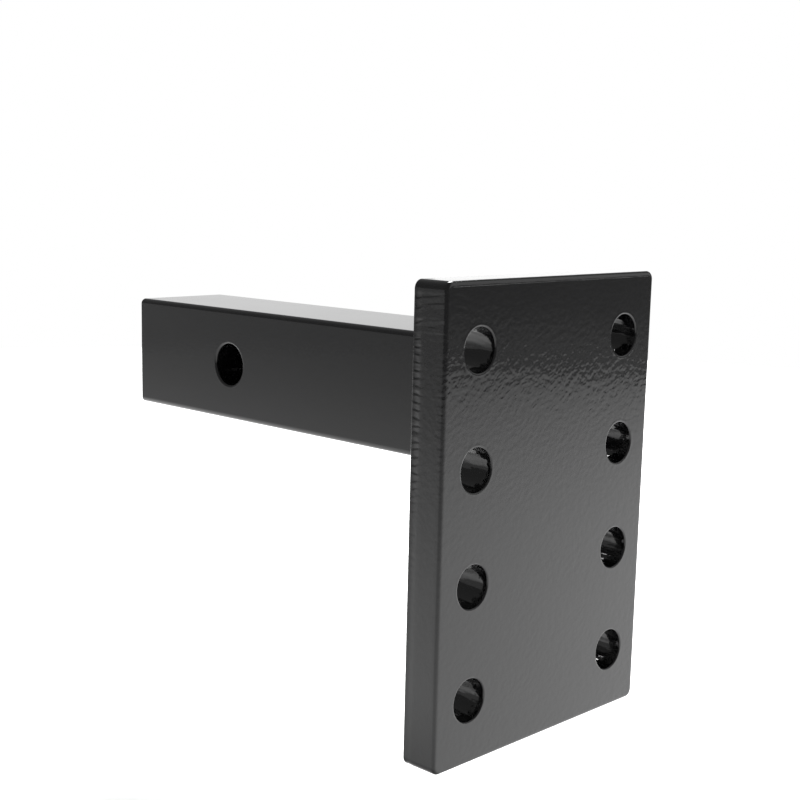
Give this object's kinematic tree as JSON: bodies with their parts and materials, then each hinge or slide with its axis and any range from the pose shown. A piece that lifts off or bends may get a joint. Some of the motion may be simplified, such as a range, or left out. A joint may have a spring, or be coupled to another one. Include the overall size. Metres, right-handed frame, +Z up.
{
  "type": "receiver hook mount plate",
  "caption": "Drilled steel mounting plate welded across the end of a solid square shank, so that a hook can be bolted on at several heights and held in a square receiver tube by a cross pin.",
  "frame": {"origin": "middle of the hitch pin bore, on the shank's centre line", "axes": "+X along the pin bore, +Y along the shank from the plate into the receiver, +Z up"},
  "size_m": [0.127, 0.2354, 0.1842],
  "materials": {
    "black_powder_coat": "semi-gloss black powder coat with light orange peel"
  },
  "bodies": {
    "root": {"mount_plate": "black_powder_coat", "receiver_shank": "black_powder_coat", "weld_bead_top": "black_powder_coat", "weld_bead_right": "black_powder_coat", "weld_bead_bottom": "black_powder_coat", "weld_bead_left": "black_powder_coat"}
  },
  "joints": []
}
